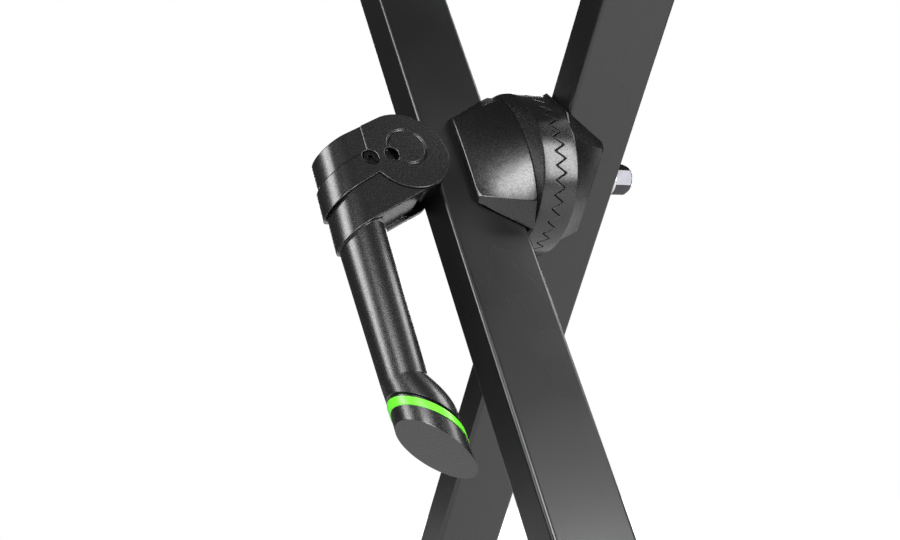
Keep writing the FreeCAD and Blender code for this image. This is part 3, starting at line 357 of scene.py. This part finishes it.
def end_rows(first, last, count, proud=0.0):
    """Rows for draw_oval from one depth to another.  A form is drawn past its end and
    then cut, so the last depth only has to lie below the cut."""
    return [end_oval(first + (last - first) * step / count, proud) for step in range(count + 1)]


def slice_off(shape, depth, angle, lower):
    """Cuts the form along a slanted plane, takes its lower or its upper side away and
    closes it.  Returns the new faces."""
    normal = Vector((0, math.sin(angle), math.cos(angle)))
    cut = bmesh.ops.bisect_plane(
        shape, geom=shape.verts[:] + shape.edges[:] + shape.faces[:],
        plane_co=(0, END_FRONT, -depth), plane_no=normal, clear_inner=lower,
        clear_outer=not lower)
    rim = [item for item in cut["geom_cut"] if isinstance(item, bmesh.types.BMEdge)]
    made = bmesh.ops.contextual_create(shape, geom=rim)
    return made["faces"]


def soften_rim(shape, faces, width, segments=4):
    """Rounds the edges round these faces."""
    edges = list({edge for face in faces for edge in face.edges})
    bmesh.ops.bevel(shape, geom=edges, offset=width, offset_type="OFFSET", affect="EDGES",
                    segments=segments, profile=0.5, material=-1, clamp_overlap=True)


def add_mesh(shape, other):
    """Adds another form's faces to the shape."""
    mesh = bpy.data.meshes.new("joined")
    other.to_mesh(mesh)
    other.free()
    shape.from_mesh(mesh)
    bpy.data.meshes.remove(mesh)


def make_grip():
    """The neck from the built solid, a handle whose end stops short of the ring, and a
    thinner core that leaves a dark groove between the two."""
    neck = merged_copy("lever_grip")
    bmesh.ops.transform(neck, matrix=FRONT_LEG.inverted(), verts=neck.verts)
    cut = bmesh.ops.bisect_plane(
        neck, geom=neck.verts[:] + neck.edges[:] + neck.faces[:],
        plane_co=LIP_POINT, clear_inner=True,
        plane_no=(0, -math.sin(LIP_ANGLE), math.cos(LIP_ANGLE)))
    rim = [item for item in cut["geom_cut"] if isinstance(item, bmesh.types.BMEdge)]
    bmesh.ops.holes_fill(neck, edges=rim)
    round_edges(neck, 0.0005)

    handle = bmesh.new()
    draw_oval(handle, HANDLE_ROWS + end_rows(0.1124, 0.15, 40))
    faces = slice_off(handle, HANDLE_END, RING_ANGLE, True)
    soften_rim(handle, faces, 0.0006)

    core = bmesh.new()
    draw_oval(core, end_rows(0.11, 0.15, 30, -GROOVE_DEEP))
    slice_off(core, CORE_END, RING_ANGLE, True)
    add_mesh(neck, handle)
    add_mesh(neck, core)
    bmesh.ops.transform(neck, matrix=FRONT_LEG, verts=neck.verts)
    finish_piece(neck, "lever_grip")


def make_accent_ring():
    """A bulging ring, round in section, that stands a little proud of the grip."""
    ring = bmesh.new()
    draw_oval(ring, end_rows(FLARE_START, 0.16, 60, RING_PROUD))
    upper = slice_off(ring, RING_TOP, RING_ANGLE, False)
    lower = slice_off(ring, RING_END, RING_ANGLE, True)
    soften_rim(ring, upper + lower, 0.0016, 8)
    bmesh.ops.transform(ring, matrix=FRONT_LEG, verts=ring.verts)
    finish_piece(ring, "accent_ring", 60.0)


def make_end_cap():
    """The grip's last piece, with a slanted flat face and a softened rim."""
    cap = bmesh.new()
    draw_oval(cap, end_rows(FLARE_START, 0.17, 60))
    slice_off(cap, CAP_TOP, RING_ANGLE, False)
    lower = slice_off(cap, CAP_FACE, FACE_ANGLE, True)
    soften_rim(cap, lower, 0.0005)
    bmesh.ops.transform(cap, matrix=FRONT_LEG, verts=cap.verts)
    finish_piece(cap, "grip_end_cap")


make_grip()
make_accent_ring()
make_end_cap()

# ---------------------------------------------------------------- clutch teeth

TEETH = 36
STEPS = 16                    # sides of a tooth
FIRST_GROOVE = math.radians(2.0)
TIP_SHARPNESS = 0.985         # 1 would leave pointed tips and grooves
TOOTH_MIDDLE = 0.000225       # half the gap that two meshing flanks keep
TOOTH_REACH = 0.002525        # half a tooth's height
RING_BACK = 0.0096
WEB_LEVEL = 0.006
# From the back over the rim and the teeth to the web, each as make_toothed_ring takes it.
RIM_ROWS = [
    (0.0392, RING_BACK, 0.0), (0.0398, 0.0094, 0.0), (0.04, 0.0088, 0.0),
    (0.04, 0.0056, 0.0), (0.04, 0.0011, 1.0), (0.04, 0.0005, 1.0),
    (0.0399, 0.0002, 1.0), (0.0396, 0.0, 1.0),
    (0.0313, 0.0, 1.0), (0.031, 0.0003, 1.0), (0.031, WEB_LEVEL, 0.0),
]
BORE = {"front": 0.0043, "rear": 0.00405}


def tooth_wave(angle):
    """From -1 in a groove to 1 on a tip, with straight flanks and rounded turns."""
    turn = -math.cos(TEETH * (angle - FIRST_GROOVE))
    return math.asin(TIP_SHARPNESS * turn) / math.asin(TIP_SHARPNESS)


def make_toothed_ring(side, rows):
    """A ring drawn out circle by circle.  Each row is a radius, a height above the
    middle plane and how much of the tooth wave it follows."""
    sign = -1.0 if side == "front" else 1.0
    shape = bmesh.new()
    made = bmesh.ops.create_circle(shape, segments=TEETH * STEPS, radius=1.0)
    bmesh.ops.rotate(shape, verts=made["verts"], matrix=Matrix.Rotation(math.pi / 2, 3, "X"))
    first = list(shape.edges)
    edges = first
    for count, (radius, height, share) in enumerate(rows):
        if count:
            made = bmesh.ops.extrude_edge_only(shape, edges=edges)
            edges = [item for item in made["geom"] if isinstance(item, bmesh.types.BMEdge)]
        for vert in {vert for edge in edges for vert in edge.verts}:
            angle = math.atan2(vert.co.z, vert.co.x)
            level = sign * height + share * (sign * TOOTH_MIDDLE
                                             + TOOTH_REACH * tooth_wave(angle))
            vert.co = (radius * math.cos(angle), level, radius * math.sin(angle))
    bmesh.ops.bridge_loops(shape, edges=first + edges)
    bmesh.ops.recalc_face_normals(shape, faces=shape.faces)
    bmesh.ops.translate(shape, verts=shape.verts, vec=(0, 0, AXLE_HEIGHT))
    finish_piece(shape, "toothed_ring_" + side, 40.0)


for side, bore in BORE.items():
    make_toothed_ring(side, [(bore, RING_BACK, 0.0)] + RIM_ROWS + [(bore, WEB_LEVEL, 0.0)])

# ---------------------------------------------------------------- studio

WHITE = (1.0, 1.0, 1.0, 1.0)
FLOOR_HALF = 1.45             # half the floor's side
FOCAL_PIXELS = 1336.7         # the photograph's focal length
PICTURE_WIDTH = 900           # its width in pixels
SENSOR_WIDTH = 36.0
CAMERA_PLACE = (0.565109, -0.339743, AXLE_HEIGHT - 0.059452)
CAMERA_RIGHT = (0.470036, 0.882528, -0.014476)
CAMERA_UP = (0.024905, 0.003133, 0.999685)


def make_floor():
    """A pale floor that looks nearly white to the camera and stays dimmer in what the
    object mirrors."""
    material, tree, shader, _ = new_material("pale_floor", "C8C8C8", 0.6)
    shader.inputs["Emission Color"].default_value = WHITE
    seen = add(tree, "ShaderNodeLightPath").outputs["Is Camera Ray"]
    glow = add(tree, "ShaderNodeMapRange", {"Value": seen}, To_Min=0.3, To_Max=0.8)
    tree.links.new(shader.inputs["Emission Strength"], glow.outputs["Result"])
    mesh = bpy.data.meshes.new("floor")
    shape = bmesh.new()
    bmesh.ops.create_grid(shape, x_segments=1, y_segments=1, size=FLOOR_HALF)
    shape.to_mesh(mesh)
    shape.free()
    floor = bpy.data.objects.new("floor", mesh)
    bpy.context.scene.collection.objects.link(floor)
    mesh.materials.append(material)


def soft_light(name, azimuth, elevation, distance, width, tall, power):
    """A soft box seen from the clutch at an azimuth and an elevation in degrees, turned
    to it.  Distance, width and height are in metres, power in watts."""
    light = bpy.data.lights.new(name, "AREA")
    light.shape = "RECTANGLE"
    light.size = width
    light.size_y = tall
    light.energy = power
    lamp = bpy.data.objects.new(name, light)
    bpy.context.scene.collection.objects.link(lamp)
    turn = Matrix.Rotation(math.radians(azimuth), 3, "Z") @ Matrix.Rotation(
        math.radians(-elevation), 3, "Y")
    away = turn @ Vector((distance, 0, 0))
    lamp.location = Vector((0, 0, AXLE_HEIGHT)) + away
    lamp.rotation_euler = away.to_track_quat("Z", "Y").to_euler()


def make_camera():
    """The photograph's view, solved from the legs, the clutch and the lever."""
    data = bpy.data.cameras.new("photo_view")
    data.sensor_width = SENSOR_WIDTH
    data.lens = FOCAL_PIXELS / PICTURE_WIDTH * SENSOR_WIDTH
    camera = bpy.data.objects.new("photo_view", data)
    bpy.context.scene.collection.objects.link(camera)
    right = Vector(CAMERA_RIGHT)
    up = Vector(CAMERA_UP)
    turn = Matrix((right, up, right.cross(up))).transposed().to_4x4()
    camera.matrix_world = Matrix.Translation(CAMERA_PLACE) @ turn
    bpy.context.scene.camera = camera


def make_world():
    """White behind the object, and a dim room for what the object mirrors."""
    world = bpy.data.worlds.new("studio")
    world.use_nodes = True
    tree = world.node_tree
    room = tree.nodes["Background"]
    room.inputs["Color"].default_value = WHITE
    room.inputs["Strength"].default_value = 0.06
    sheet = add(tree, "ShaderNodeBackground", Strength=1.0)
    sheet.inputs["Color"].default_value = WHITE
    seen = add(tree, "ShaderNodeLightPath").outputs["Is Camera Ray"]
    mix = add(tree, "ShaderNodeMixShader", {"Fac": seen})
    tree.links.new(mix.inputs[1], room.outputs["Background"])
    tree.links.new(mix.inputs[2], sheet.outputs["Background"])
    tree.links.new(tree.nodes["World Output"].inputs["Surface"], mix.outputs["Shader"])
    bpy.context.scene.world = world


make_floor()
make_camera()
make_world()
soft_light("left_box", -96, 30, 1.5, 0.5, 0.9, 22)
soft_light("front_box", -29, 31, 1.5, 0.7, 0.7, 32)
soft_light("right_box", 34, 15, 1.5, 0.4, 1.1, 24)
soft_light("side_box", 80, 40, 1.5, 0.6, 0.55, 9.5)
soft_light("back_sheet", 150, 12, 2.2, 2.2, 0.9, 30)
bpy.context.scene.view_settings.view_transform = "Standard"
